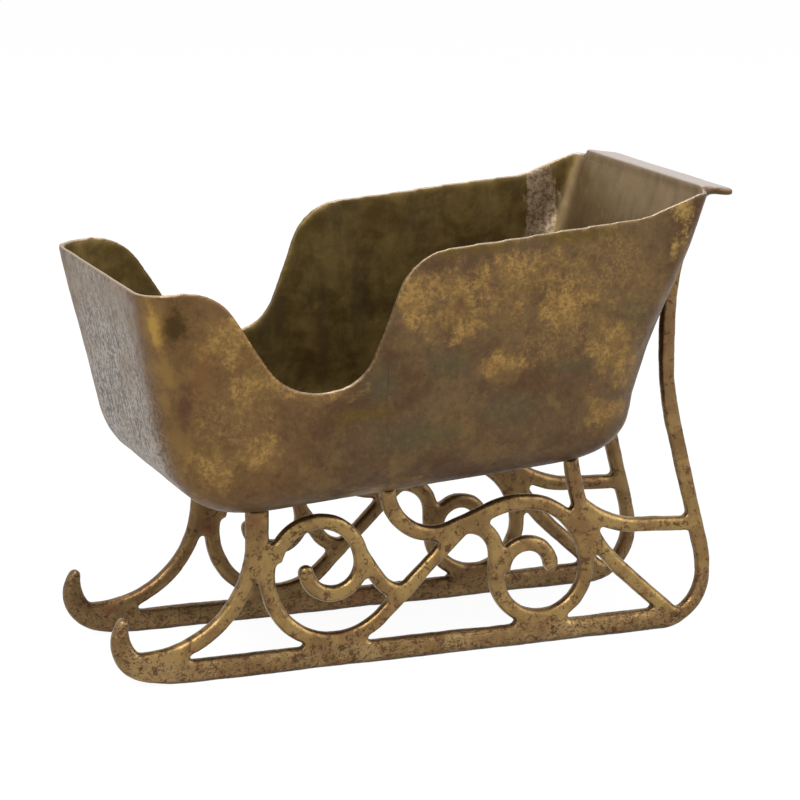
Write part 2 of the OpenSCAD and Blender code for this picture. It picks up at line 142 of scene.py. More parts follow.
def shells(bm):
    """The connected groups of vertices of a mesh."""
    seen, groups = set(), []
    for start in bm.verts:
        if start.index in seen:
            continue
        seen.add(start.index)
        group, stack = [], [start]
        while stack:
            v = stack.pop()
            group.append(v)
            for e in v.link_edges:
                w = e.other_vert(v)
                if w.index not in seen:
                    seen.add(w.index)
                    stack.append(w)
        groups.append(group)
    return groups


def round_sections(bm, middle_y, half):
    """Turns the square sections of flat bars round. Across a section, u runs
    from 0 on the middle line to 1 at the bar's side, and v from face to face."""
    walls = [v for v in bm.verts if abs(v.normal.y) < WALL_TILT]
    tree = KDTree(len(walls))
    for i, v in enumerate(walls):
        tree.insert((v.co.x, 0, v.co.z), i)
    tree.balance()
    moves = []
    for v in bm.verts:
        flat = Vector((v.co.x, 0, v.co.z))
        near, i, away = tree.find(flat)
        is_wall = abs(v.normal.y) < WALL_TILT
        depth = 0.0 if is_wall else away
        u = 1 - min(depth / half, 1)
        w = max(-1.0, min(1.0, (v.co.y - middle_y) / half))
        pull = u * (1 - math.sqrt(1 - w * w / 2)) * BAR_ROUNDNESS
        squeeze = w * (1 - math.sqrt(1 - u * u / 2)) * BAR_ROUNDNESS
        inward = Vector((-walls[i].normal.x, 0, -walls[i].normal.z)).normalized()
        moves.append(inward * pull * half - Vector((0, squeeze * half, 0)))
    for v, move in zip(bm.verts, moves):
        v.co += move


def cast(names, label, voxel, swell, rounds, bar_middle=None):
    """One rounded casting from several nodes: swollen a little so that joints
    close, remeshed, smoothed into fillets, then drawn back to size. Flat bars
    around the plane y = bar_middle have their sections rounded first."""
    obj = joined(names, label)
    grow = obj.modifiers.new("grow", "DISPLACE")
    grow.strength = swell
    grow.mid_level = 0
    skin = obj.modifiers.new("skin", "REMESH")
    skin.mode = "VOXEL"
    skin.voxel_size = voxel
    baked(obj)
    bm = bmesh.new()
    bm.from_mesh(obj.data)
    groups = shells(bm)
    largest = max(groups, key=len)
    loose = [v for g in groups if g is not largest for v in g]
    bmesh.ops.delete(bm, geom=loose, context="VERTS")
    if bar_middle is not None:
        bm.normal_update()
        bm.verts.index_update()
        round_sections(bm, bar_middle, max(abs(v.co.y - bar_middle) for v in bm.verts))
    for _ in range(rounds):
        bmesh.ops.smooth_vert(
            bm, verts=bm.verts, factor=SMOOTH_SHARE, use_axis_x=True, use_axis_y=True, use_axis_z=True
        )
    bm.normal_update()
    bm.to_mesh(obj.data)
    bm.free()
    return obj


def curvature(obj, reach):
    """How strongly the skin bends at each vertex: above 0 on an edge or a thin
    bar, below 0 in a crevice, with a search tree to look it up by place."""
    bm = bmesh.new()
    bm.from_mesh(obj.data)
    tree = KDTree(len(bm.verts))
    bends = []
    for v in bm.verts:
        total = 0.0
        for e in v.link_edges:
            step = e.other_vert(v).co - v.co
            total -= step.dot(v.normal) / max(step.length_squared, 1e-12)
        bends.append(total / max(len(v.link_edges), 1) * reach)
        tree.insert(v.co, v.index)
    bm.free()
    tree.balance()
    return tree, bends


def mark_bend(obj, lookup):
    """Writes the curvature of the whole casting on one of its pieces, so that
    the hidden cuts between pieces leave no line."""
    tree, bends = lookup
    layer = obj.data.attributes.new("bend", "FLOAT", "POINT")
    for v in obj.data.vertices:
        layer.data[v.index].value = bends[tree.find(v.co)[1]]


def settle(obj, draw_in, wave, seed):
    """Draws a skin back by draw_in and gives it a casting's unevenness."""
    shift = Vector([seed * part for part in SEED_SHIFT])
    mesh = obj.data
    normals = [v.normal.copy() for v in mesh.vertices]
    for v, n in zip(mesh.vertices, normals):
        slow = noise.noise(v.co * SLOW_WAVES + shift)
        mid = noise.noise(v.co * MID_WAVES + shift)
        fine = noise.noise(v.co * FINE_WAVES + shift)
        v.co += n * (wave * (slow + MID_SHARE * mid) + PIT * fine - draw_in)
        v.co.z = max(v.co.z, 0.0)
    mesh.update()
    return obj


def swollen(name, amount):
    """A closed cutter that stands amount proud of a CAD node."""
    obj = welded_copy(name)
    grow = obj.modifiers.new("grow", "DISPLACE")
    grow.strength = amount
    grow.mid_level = 0
    return baked(obj)


def boolean(target, cutter, operation):
    """Cuts one object by another and keeps the result."""
    cut = target.modifiers.new("cut", "BOOLEAN")
    cut.operation = operation
    cut.solver = "MANIFOLD"
    cut.object = cutter
    return baked(target)


def split_off(rest, node, amount, label):
    """Takes the part of a casting near a CAD node off as its own closed piece."""
    cutter = swollen(node, amount)
    piece = bpy.data.objects.new(label, rest.data.copy())
    bpy.context.scene.collection.objects.link(piece)
    boolean(piece, cutter, "INTERSECT")
    boolean(rest, cutter, "DIFFERENCE")
    bpy.data.objects.remove(cutter)
    return piece


def smooth_shaded(obj):
    """Smooth shading, with the hidden cut faces' edges kept sharp."""
    bm = bmesh.new()
    bm.from_mesh(obj.data)
    for f in bm.faces:
        f.smooth = True
    for e in bm.edges:
        e.smooth = not (e.is_manifold and e.calc_face_angle(0) > math.radians(SHARP_DEG))
    bm.to_mesh(obj.data)
    bm.free()


# ---------------------------------------------------------------- tables of the looks

# noises of the body: waves per metre, levels of detail, roughness, warp, stretch
BODY_NOISES = {
    "slow": {"scale": 24, "warp": 0.5},
    "cloud": {"scale": 52, "detail": 9, "rough": 0.66, "warp": 0.3},
    "blotch": {"scale": 120, "detail": 9, "rough": 0.72},
    "speck": {"scale": 560, "detail": 4, "rough": 0.7},
    "grain": {"scale": 1700, "detail": 3},
    "streak": {"scale": 230, "detail": 5, "rough": 0.7, "stretch": (1.6, 1.6, 0.3)},
    "mottle": {"scale": 300, "detail": 8, "rough": 0.75},
    "inner_streak": {"scale": 60, "detail": 5, "stretch": (1.6, 1.6, 0.4)},
    "seat_streak": {"scale": 80, "stretch": (1.2, 1.2, 0.5)},
    "wander": {"scale": 210, "detail": 4, "rough": 0.7},
    "breaks": {"scale": 260, "detail": 3},
}
BAR_NOISES = {
    "slow": {"scale": 55, "rough": 0.62, "warp": 0.5},
    "blotch": {"scale": 210, "detail": 8, "rough": 0.72, "warp": 0.3},
    "speck": {"scale": 800, "detail": 4, "rough": 0.7},
    "wrinkle": {"scale": 380, "detail": 5, "rough": 0.75, "stretch": (0.7, 1, 1.3), "warp": 1.6},
    "stain": {"scale": 90, "detail": 4},
}

# layers painted one over the other: the value read, where it starts and ends
# to count, how much of the paint lies at both, and the paint's colour.
# "x" and "y" are places in metres.
SKIN = [
    ("cloud", 0.44, 0.66, 0, 0.7, "#725b38"),
    ("x", 0.045, 0.085, 0, 0.5, "#785a35"),
    ("blotch", 0.48, 0.66, 0, 0.55, "#51382a"),
]
OVER_PATCHES = [
    ("mottle", 0.50, 0.62, 0, 0.28, "#463424"),
    ("mottle", 0.38, 0.48, 0.14, 0, "#8d7044"),
    ("speck", 0.58, 0.72, 0, 0.45, "#38281b"),
    ("cloud", 0.60, 0.70, 0, 0.4, "#573829"),
]
DASH_STAINS = [("slow", 0.44, 0.66, 0, 0.6, "#7d6a53")]
INNER_STREAKS = [("inner_streak", 0.5, 0.68, 0, 0.5, "#4a3d2c")]
# painted shade: the bars on the far side, in the body's shadow, are darkened
FAR_BARS_SHADE = [("y", -0.02, 0.02, 0.5, 0, "#5a462f")]
BAR_STAINS = [
    ("speck", 0.57, 0.70, 0, 0.4, "#33271b"),
    ("stain", 0.56, 0.70, 0, 0.6, "#6a4330"),
]

# two colours of one skin, and where a noise turns from the first to the second
BLENDS = {
    "skin": (0.36, 0.64, "#543e2a", "#604c37"),
    "gold": (0.42, 0.62, "#806338", "#9f7e48"),
    # the dash's pale grey is partly a painted sheen of reflected light
    "dash": (0.44, 0.56, "#a4988c", "#3f362e"),
    "inside": (0.38, 0.64, "#544322", "#715f37"),
    "seat": (0.40, 0.66, "#8c7656", "#7c684b"),
    "strip": (0.42, 0.62, "#a39078", "#6d5b47"),
    # the rim's pale colours are a painted sheen of the overhead light
    "rim": (0.5, 0.7, "#ad9a84", "#8f7a5f"),
}

# paints that a mask lays on: the colour, and how much of it lies where the mask is full
PAINTS = {
    "green": ("#544b35", 0.7),
    "olive": ("#5e4b22", 0.8),
    "dust": ("#6f5636", 0.5),
    "dust_flecks": ("#917548", 0.6),
    "corner_gold": ("#aa8c50", 0.75),
    "dash_top": ("#7f6c55", 1),
    "seat_foot_shade": ("#5d4e33", 1),
    "lip_top": ("#b3a8a0", 1),
    # edges that are both worn and given a painted highlight
    "edge_wear_and_highlight": ("#a08a66", 1),
    "hairline": ("#33231a", 1),
    "body_crevice_shade": ("#30251a", 0.45),
    "high_on_bar": ("#6b5238", 1),
    "bar_hollow": ("#35291b", 1),
    "bar_flakes": ("#4b3325", 0.8),
    "wrinkled_skin": ("#43301f", 1),
    "bar_crevice_shade": ("#2b2116", 0.8),
}

# pairs of noises added by their shares
BODY_SUMS = {
    "flecks": ("speck", 0.7, "blotch", 0.3),
    "ragged": ("blotch", 0.65, "cloud", 0.35),
    "frayed": ("ragged", 0.6, "speck", 0.4),
    "pitting": ("streak", 0.35, "speck", 0.65),
}
BAR_SUMS = {"flakes": ("blotch", 0.7, "speck", 0.3)}

# where a value starts and ends to count, and the result at both
BANDS = {
    "flecks": (0.47, 0.60, 0, 1),
    "gold_specks": (0.38, 0.58, 0.3, 0.95),
    "faces_ahead": (0.62, 0.95, 0, 1),
    "dash_half_width": (0.036, 0.062, 1.0, 0.0),
    "dash_cover": (0.30, 0.55, 0.75, 1.0),
    "faces_from_back": (0.35, 0.8, 0, 1),
    "wear_and_highlight_bend": (0.14, 0.40, 0, 1),
    "wear_and_highlight_blotch": (0.4, 0.6, 0.1, 0.4),
    "left_only": (0.02, 0.03, 0, 1),
    "hairline_breaks": (0.42, 0.58, 0.1, 0.85),
    "shaded": (0.25, 0.75, 1.0, 0.0),
    "body_rough": (0.35, 0.7, 0.40, 0.55),
    "bar_skin": (0.36, 0.64, 0, 1),
    # convex edges of the bars: rubbed brass with a painted highlight
    "rub_and_highlight_bend": (0.08, 0.24, 0, 1),
    "rub_and_highlight_blotch": (0.36, 0.62, 0.1, 0.8),
    "hollow_bend": (-0.20, 0.0, 0.75, 0.0),
    "flakes": (0.52, 0.58, 0, 1),
    "wrinkles": (0.50, 0.60, 0, 1),
    "bar_rough": (0.35, 0.7, 0.28, 0.46),
}

# steps in height: where they start and end above a given height, and the result at both
RISES = {
    "dash_top": (-0.035, -0.008, 0, 0.55),
    "seat_foot_shade": (-0.045, -0.008, 0.7, 0.0),
    "lip_top": (0.001, 0.003, 0, 1),
    "high_on_bar": (0, 0.04, 0, 0.55),
}
INSIDE_ROUGHER = 0.08   # what the inside adds to the roughness
WRINKLES_ROUGHER = 0.15
GRAIN_SHARE = 0.5       # relief of the grain as a share of the pits'
BAR_SPECK_SHARE = 0.6   # relief of a bar's specks as a share of its blotches'
WRINKLE_SHARE = 0.5
BODY_BUMP_DEPTH = 0.00012
BODY_BUMP_STRENGTH = 0.5
BAR_BUMP_DEPTH = 0.0002
BAR_BUMP_STRENGTH = 0.6
METALLIC = 0.92

# how patches fray: the pull of the noise on their edge, and the depths at which
# they start and are full
FRAYS = {
    "green": (1.6, 0.0, 0.7),
    "olive": (1.8, 0.0, 0.8),
    "gold": (5.4, -0.1, 0.95),
    "dust": (3.4, -0.1, 1.1),
    "corner_gold": (6.0, 0.1, 1.0),
    "corner_stain": (4.0, 0.0, 0.8),
    "strip": (1.8, 0.05, 0.45),
}

# patches on each side: share of the side's length from the rear, share of its
# height, half length and half height in metres
GOLD = [
    (0.57, 0.70, 0.012, 0.016), (0.49, 0.62, 0.018, 0.010), (0.50, 0.76, 0.018, 0.009),
    (0.42, 0.74, 0.022, 0.014), (0.34, 0.78, 0.026, 0.012), (0.26, 0.68, 0.018, 0.014),
    (0.16, 0.47, 0.013, 0.019), (0.18, 0.27, 0.013, 0.007), (0.38, 0.47, 0.017, 0.006),
    (0.90, 0.60, 0.018, 0.015), (0.86, 0.45, 0.017, 0.012), (0.94, 0.20, 0.012, 0.020),
    (0.85, 0.24, 0.010, 0.008), (0.74, 0.43, 0.026, 0.005), (0.60, 0.06, 0.030, 0.004),
]
CORNER_GOLD = [
    (0.035, 0.95, 0.008, 0.010), (0.025, 0.88, 0.006, 0.012), (0.045, 0.82, 0.003, 0.007),
]
SPECKLED = [
    (0.17, 0.76, 0.026, 0.022), (0.28, 0.54, 0.034, 0.018), (0.82, 0.48, 0.034, 0.024),
    (0.10, 0.34, 0.014, 0.02), (0.92, 0.40, 0.020, 0.03),
]
GREEN = [
    (0.49, 0.48, 0.016, 0.009), (0.37, 0.31, 0.019, 0.010), (0.62, 0.44, 0.013, 0.012),
    (0.24, 0.44, 0.018, 0.004), (0.55, 0.25, 0.030, 0.010), (0.12, 0.62, 0.008, 0.012),
]
RIM_OLIVE = [(0.44, 0.88, 0.030, 0.007), (0.25, 0.90, 0.030, 0.006), (0.66, 0.34, 0.020, 0.006)]
PATCH_Y = 0.9           # where the side's skin lies, as a share of the side panel's width
PATCH_DEPTH = 0.05      # half size of a patch through the wall, in metres

# stains at both front corners, a rubbed gold streak with dark and red ones beside
# it: place as shares of the dash's box, half sizes in metres, colour, strength
CORNER_STAINS = [
    ((0.93, 0.95, 0.86), (0.012, 0.010, 0.022), "#86683a", 0.80),
    ((0.86, 0.95, 0.62), (0.010, 0.012, 0.022), "#886b3c", 0.80),
    ((0.76, 0.95, 0.36), (0.010, 0.014, 0.020), "#7d6138", 0.75),
    ((0.91, 0.955, 0.80), (0.005, 0.0035, 0.026), "#ad8a45", 0.75),
    ((0.78, 0.97, 0.86), (0.006, 0.010, 0.016), "#3c2c14", 0.85),
    ((0.60, 0.96, 0.66), (0.008, 0.012, 0.016), "#7e5a32", 0.45),
    ((0.72, 0.96, 0.50), (0.004, 0.010, 0.014), "#4d302a", 0.65),
    ((0.97, 0.84, 0.92), (0.012, 0.006, 0.010), "#4e3a26", 0.55),
]

# a pale strip on the inside of the right side, near the back
STRIP_PLACE = (0.07, 0.1, 0.80)
STRIP_SIZE = (0.010, 0.05, 0.055)
STRIP_SHARE = 0.9

# a hairline in the casting on the left side
HAIRLINE_PLACE = (0.61, PATCH_Y, 0.37)
HAIRLINE_WANDER = 0.005
HAIRLINE_WIDTH = (0.00005, 0.0003)      # half widths where it starts and stops to fade
HAIRLINE_LENGTH = (0.012, 0.019)        # half lengths likewise
HAIRLINE_DEPTH = 2      # how much deeper than a pit it is

# inner corners found within these distances get painted shade: a dark colour standing in for the shade
# that falls there
BODY_CREVICE = 0.006    # how near another face must be to count as an inner corner
BAR_CREVICE = 0.005
CREVICE_SAMPLES = 6


# ---------------------------------------------------------------- nodes of a material


def srgb(code):
    """A linear colour from #rrggbb."""
    parts = [int(code[i:i + 2], 16) / 255 for i in (1, 3, 5)]
    return tuple(c / 12.92 if c <= 0.04045 else ((c + 0.055) / 1.055) ** 2.4 for c in parts) + (1,)


class Graph:
    """Short names for the nodes that the brass is built from."""

    def __init__(self, name):
        self.material = bpy.data.materials.new(name)
        self.material.use_nodes = True
        self.tree = self.material.node_tree
        self.tree.nodes.clear()
        self.place = self.tree.nodes.new("ShaderNodeTexCoord").outputs["Object"]
        self.geometry = self.tree.nodes.new("ShaderNodeNewGeometry")

    def link(self, value, socket):
        if isinstance(value, bpy.types.NodeSocket):
            self.tree.links.new(value, socket)
        else:
            socket.default_value = value

    def math(self, op, a, b=0.0, c=0.0, clamp=False):
        n = self.tree.nodes.new("ShaderNodeMath")
        n.operation = op
        n.use_clamp = clamp
        for value, socket in zip((a, b, c), n.inputs):
            self.link(value, socket)
        return n.outputs[0]

    def vector(self, op, a, b=(0, 0, 0), out=0):
        n = self.tree.nodes.new("ShaderNodeVectorMath")
        n.operation = op
        self.link(a, n.inputs[0])
        self.link(b, n.inputs[1])
        return n.outputs[out]

    def times(self, a, b):
        return self.math("MULTIPLY", a, b)

    def noise(self, scale, detail=6, rough=0.6, stretch=(1, 1, 1), warp=0.0):
        n = self.tree.nodes.new("ShaderNodeTexNoise")
        self.link(self.vector("MULTIPLY", self.place, stretch), n.inputs["Vector"])
        n.inputs["Scale"].default_value = scale
        n.inputs["Detail"].default_value = detail
        n.inputs["Roughness"].default_value = rough
        n.inputs["Distortion"].default_value = warp
        return n.outputs["Fac"]

    def step(self, value, low, high, to_low=0.0, to_high=1.0):
        n = self.tree.nodes.new("ShaderNodeMapRange")
        n.interpolation_type = "SMOOTHSTEP"
        items = {"Value": value, "From Min": low, "From Max": high, "To Min": to_low, "To Max": to_high}
        for key, item in items.items():
            self.link(item, n.inputs[key])
        return n.outputs[0]

    def mix(self, share, a, b):
        n = self.tree.nodes.new("ShaderNodeMix")
        n.data_type = "RGBA"
        colour = [s for s in n.inputs if s.type == "RGBA"]
        self.link(share, n.inputs["Factor"])
        self.link(a, colour[0])
        self.link(b, colour[1])
        return [s for s in n.outputs if s.type == "RGBA"][0]

    def noises(self, table, sums):
        """The noises of a table and the sums of them, by name."""
        values = {key: self.noise(**row) for key, row in table.items()}
        for key, (first, share, second, other_share) in sums.items():
            a = self.times(values[first], share)
            b = self.times(values[second], other_share)
            values[key] = self.math("ADD", a, b)
        return values

    def band(self, value, name):
        """How far a value lies in a band of the table BANDS."""
        return self.step(value, *BANDS[name])

    def rise(self, base, name):
        """How far a place lies above base, by the table RISES."""
        start, end, least, most = RISES[name]
        return self.step(self.axis(2), base + start, base + end, least, most)

    def blend(self, value, name):
        """Two colours of one skin, by the table BLENDS."""
        low, high, first, second = BLENDS[name]
        return self.mix(self.step(value, low, high), srgb(first), srgb(second))

    def layers(self, colour, values, table):
        """Paints the layers of a table over a colour, in their order."""
        for key, low, high, least, most, tone in table:
            colour = self.mix(self.step(values[key], low, high, least, most), colour, srgb(tone))
        return colour

    def paint(self, colour, mask, name):
        """Lays a paint of the table PAINTS on a colour where the mask is above 0."""
        tone, share = PAINTS[name]
        if share < 1:
            mask = self.times(mask, share)
        return self.mix(mask, colour, srgb(tone))

    def attribute(self, name):
        n = self.tree.nodes.new("ShaderNodeAttribute")
        n.attribute_name = name
        return n.outputs["Fac"]

    def blot(self, centre, size):
        """How deep a place lies in a patch: 1 at its middle, 0 at its edge.
        The centre and the size are in metres."""
        away = self.vector("SUBTRACT", self.place, centre)
        reach = self.vector("LENGTH", self.vector("DIVIDE", away, size), out=1)
        return self.math("SUBTRACT", 1, reach)

    def torn(self, spots, ragged, pull, low, high):
        """Patches with torn edges: the deepest of several blots, frayed."""
        deepest = None
        for spot in spots:
            deepest = spot if deepest is None else self.math("MAXIMUM", deepest, spot)
        fray = self.times(self.math("SUBTRACT", ragged, 0.5), pull)
        return self.step(self.math("ADD", deepest, fray), low, high)

    def crevice(self, distance):
        """1 in a tight inner corner, 0 on open surface, read from ambient occlusion: the mask of the
        painted crevice shade.
        """
        n = self.tree.nodes.new("ShaderNodeAmbientOcclusion")
        n.samples = CREVICE_SAMPLES
        n.inputs["Distance"].default_value = distance
        return self.band(n.outputs["AO"], "shaded")

    def axis(self, which):
        n = self.tree.nodes.new("ShaderNodeSeparateXYZ")
        self.link(self.place, n.inputs[0])
        return n.outputs[which]

    def facing(self, which):
        n = self.tree.nodes.new("ShaderNodeSeparateXYZ")
        self.link(self.geometry.outputs["Normal"], n.inputs[0])
        return n.outputs[which]

    def done(self, colour, rough, height, depth=BODY_BUMP_DEPTH, strength=BODY_BUMP_STRENGTH):
        """Ends the material with its shader and its bumps."""
        shader = self.tree.nodes.new("ShaderNodeBsdfPrincipled")
        shader.inputs["Metallic"].default_value = METALLIC
        self.link(colour, shader.inputs["Base Color"])
        self.link(rough, shader.inputs["Roughness"])
        bump = self.tree.nodes.new("ShaderNodeBump")
        bump.inputs["Strength"].default_value = strength
        bump.inputs["Distance"].default_value = depth
        self.link(height, bump.inputs["Height"])
        self.link(bump.outputs["Normal"], shader.inputs["Normal"])
        out = self.tree.nodes.new("ShaderNodeOutputMaterial")
        self.link(shader.outputs[0], out.inputs["Surface"])
        return self.material


def point_in(box, fx, fy, fz):
    """The place at shares fx, fy, fz of a box."""
    lo, hi = box
    return tuple(lo[i] + f * (hi[i] - lo[i]) for i, f in enumerate((fx, fy, fz)))


def on_both_sides(g, table):
    """The patches of a table, on the left side and the right side."""
    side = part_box("left_side_panel")
    spots = []
    for fx, fz, half_x, half_z in table:
        x, y, z = point_in(side, fx, PATCH_Y, fz)
        for sign in (1, -1):
            spots.append(g.blot((x, sign * y, z), (half_x, PATCH_DEPTH, half_z)))
    return spots


def outer_skin(g, v):
    """The outside of the body: brown, with green, olive and rubbed gold patches."""
    colour = g.layers(g.blend(v["slow"], "skin"), v, SKIN)
    green = g.torn(on_both_sides(g, GREEN), v["blotch"], *FRAYS["green"])
    colour = g.paint(colour, green, "green")
    olive = g.torn(on_both_sides(g, RIM_OLIVE), v["cloud"], *FRAYS["olive"])
    colour = g.paint(colour, olive, "olive")

    dust = g.torn(on_both_sides(g, SPECKLED), v["cloud"], *FRAYS["dust"])
    colour = g.paint(colour, dust, "dust")
    flecks = g.band(v["flecks"], "flecks")
    colour = g.paint(colour, g.times(dust, flecks), "dust_flecks")

    gold = g.torn(on_both_sides(g, GOLD), v["ragged"], *FRAYS["gold"])
    gold = g.times(gold, g.band(v["speck"], "gold_specks"))
    colour = g.mix(gold, colour, g.blend(v["blotch"], "gold"))
    rubbed = g.torn(on_both_sides(g, CORNER_GOLD), v["frayed"], *FRAYS["corner_gold"])
    colour = g.paint(colour, rubbed, "corner_gold")
    return g.layers(colour, v, OVER_PATCHES)


def corner_stains(g, v, colour):
    """The stains of both front corners over a colour."""
    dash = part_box("dash_panel")
    for sign in (1, -1):
        for (fx, fy, fz), size, tone, share in CORNER_STAINS:
            spot = point_in(dash, fx, 0.5 + sign * (fy - 0.5), fz)
            stain = g.torn([g.blot(spot, size)], v["ragged"], *FRAYS["corner_stain"])
            colour = g.mix(g.times(stain, share), colour, srgb(tone))
    return colour


def dash_skin_and_sheen(g, v):
    """The greyish pitted skin of the dash, its grey partly a painted sheen of reflected light on the
    faces that look ahead, and the mask of where it lies.
    """
    mask = g.times(g.band(g.facing(0), "faces_ahead"), g.math("SUBTRACT", 1, g.attribute("inside")))
    mask = g.times(mask, g.band(g.math("ABSOLUTE", g.axis(1)), "dash_half_width"))
    skin = g.layers(g.blend(v["pitting"], "dash"), v, DASH_STAINS)
    top_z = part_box("dash_panel")[1].z
    skin = g.paint(skin, g.rise(top_z, "dash_top"), "dash_top")
    return g.times(mask, g.band(v["cloud"], "dash_cover")), skin


def inner_skin(g, v):
    """The inside of the body: dark olive, a lighter back with painted shade lower down, and a pale
    strip.
    """
    olive = g.layers(g.blend(v["cloud"], "inside"), v, INNER_STREAKS)
    from_back = g.band(g.facing(0), "faces_from_back")
    top_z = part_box("back_panel")[1].z
    # painted shade: the back's inside is darkened below its top, where less light reaches inside the
    # body
    seat = g.paint(g.blend(v["seat_streak"], "seat"), g.rise(top_z, "seat_foot_shade"), "seat_foot_shade")
    colour = g.mix(from_back, olive, seat)
    spot = g.blot(point_in(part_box("right_side_panel"), *STRIP_PLACE), STRIP_SIZE)
    strip = g.torn([spot], v["streak"], *FRAYS["strip"])
    strip = g.times(g.times(strip, g.math("SUBTRACT", 1, from_back)), STRIP_SHARE)
    return g.mix(strip, colour, g.blend(v["speck"], "strip"))


def hairline(g, v):
    """The mask of the hairline."""
    place = point_in(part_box("left_side_panel"), *HAIRLINE_PLACE)
    wander = g.times(g.math("SUBTRACT", v["wander"], 0.5), HAIRLINE_WANDER)
    off = g.math("ABSOLUTE", g.math("ADD", g.math("SUBTRACT", g.axis(0), place[0]), wander))
    near = g.step(off, *HAIRLINE_WIDTH, 1.0, 0.0)
    along = g.math("ABSOLUTE", g.math("SUBTRACT", g.axis(2), place[2]))
    line = g.times(near, g.step(along, *HAIRLINE_LENGTH, 1.0, 0.0))
    line = g.times(line, g.band(g.axis(1), "left_only"))
    return g.times(line, g.band(v["breaks"], "hairline_breaks"))


def body_brass():
    """Patinated brass of the body: brown skin, rubbed gold patches, a greyish
    dash partly painted as a sheen, a pale rim and lip top painted as a sheen of the overhead light, worn
    edges with a painted highlight, painted shade in inner corners and a dark olive inside."""
    g = Graph("aged_brass_body")
    v = g.noises(BODY_NOISES, BODY_SUMS)
    v["x"] = g.axis(0)
    colour = corner_stains(g, v, outer_skin(g, v))
    dash_sheen_mask, dash = dash_skin_and_sheen(g, v)
    # painted sheen: the forward-facing dash gets a pale grey standing in for reflected light, over its
    # pitted skin
    colour = g.mix(dash_sheen_mask, colour, dash)
    colour = g.mix(g.attribute("inside"), colour, inner_skin(g, v))
    lip_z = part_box("rear_lip")[0].z
    # painted sheen: the upward-facing rim and the lip's top get pale colours standing in for the
    # reflection of the overhead light
    edge = g.paint(g.blend(v["speck"], "rim"), g.rise(lip_z, "lip_top"), "lip_top")
    colour = g.mix(g.attribute("rim"), colour, edge)
    # painted highlight with wear: convex edges get a light colour standing in for rubbed brass and the
    # glint of light on them
    edge_wear_and_highlight = g.band(g.attribute("bend"), "wear_and_highlight_bend")
    colour = g.paint(colour, g.times(edge_wear_and_highlight, g.band(v["blotch"], "wear_and_highlight_blotch")), "edge_wear_and_highlight")
    line = hairline(g, v)
    colour = g.paint(colour, line, "hairline")
    # painted shade: the body's tight inner corners are darkened where shade falls
    colour = g.paint(colour, g.crevice(BODY_CREVICE), "body_crevice_shade")

    rougher = g.times(g.attribute("inside"), INSIDE_ROUGHER)
    rough = g.math("ADD", g.band(v["blotch"], "body_rough"), rougher)
    pits = g.math("ADD", g.times(v["grain"], GRAIN_SHARE), v["speck"])
    return g.done(colour, rough, g.math("SUBTRACT", pits, g.times(line, HAIRLINE_DEPTH)))


def bar_brass(name, base, light, dull, wrinkled):
    """Brass of the cast bars: rubbed bright on top with a painted highlight, brown in the hollows,
    with dark flakes and, on the runners, a wrinkled skin; painted shade on the far side and in inner
    corners. wrinkled is 0 to 1."""
    g = Graph(name)
    v = g.noises(BAR_NOISES, BAR_SUMS)
    v["y"] = g.axis(1)
    colour = g.mix(g.band(v["slow"], "bar_skin"), srgb(dull), srgb(base))
    body_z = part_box("floor_pan")[0].z
    colour = g.paint(colour, g.rise(body_z, "high_on_bar"), "high_on_bar")
    # painted shade on the far side's bars
    colour = g.layers(colour, v, FAR_BARS_SHADE)
    bend = g.attribute("bend")
    # painted highlight with wear: convex edges take the light colour, standing in for rubbed brass and
    # for the glint of light on them
    rubbed = g.times(g.band(bend, "rub_and_highlight_bend"), g.band(v["blotch"], "rub_and_highlight_blotch"))
    colour = g.mix(rubbed, colour, srgb(light))
    colour = g.paint(colour, g.band(bend, "hollow_bend"), "bar_hollow")
    colour = g.paint(colour, g.band(v["flakes"], "flakes"), "bar_flakes")
    skin = g.times(g.band(v["wrinkle"], "wrinkles"), wrinkled)
    colour = g.paint(colour, skin, "wrinkled_skin")
    colour = g.layers(colour, v, BAR_STAINS)
    # painted shade: the bars' tight inner corners and joints are darkened where shade falls
    colour = g.paint(colour, g.crevice(BAR_CREVICE), "bar_crevice_shade")
    rough = g.math("ADD", g.band(v["blotch"], "bar_rough"), g.times(skin, WRINKLES_ROUGHER))
    relief = g.math("ADD", g.times(v["speck"], BAR_SPECK_SHARE), v["blotch"])
    relief = g.math("SUBTRACT", relief, g.times(skin, WRINKLE_SHARE))
    return g.done(colour, rough, relief, depth=BAR_BUMP_DEPTH, strength=BAR_BUMP_STRENGTH)


# ---------------------------------------------------------------- pieces


def mark_body(obj):
    """Attributes for the material: the inner skin and the rim, where a painted sheen of the overhead
    light goes.
    """
    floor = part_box("floor_pan")
    mid_z = (floor[0].z + floor[1].z) / 2 + HUB_RISE
    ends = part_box("left_side_panel")
    reach = HUB_REACH * (ends[1].x - ends[0].x) / 2
    centre_x = (ends[0].x + ends[1].x) / 2
    mesh = obj.data
    inner = mesh.attributes.new("inside", "FLOAT", "POINT")
    rim = mesh.attributes.new("rim", "FLOAT", "POINT")
    for v in mesh.vertices:
        hub = Vector((max(centre_x - reach, min(centre_x + reach, v.co.x)), 0, mid_z))
        out = (v.co - hub).normalized()
        flat_out = Vector((out.x, out.y, 0))
        low = v.co.z < mid_z - FLOOR_BAND
        d = v.normal.dot(out) if low else v.normal.dot(flat_out)
        above = v.co.z > mid_z and v.normal.z > RIM_TILT
        inward = max(0.0, min(1.0, 0.5 - d * MASK_SOFTNESS))
        upward = max(0.0, min(1.0, (v.normal.z - RIM_TILT) * MASK_SOFTNESS))
        inner.data[v.index].value = 0.0 if above else inward
        rim.data[v.index].value = upward if above else 0.0


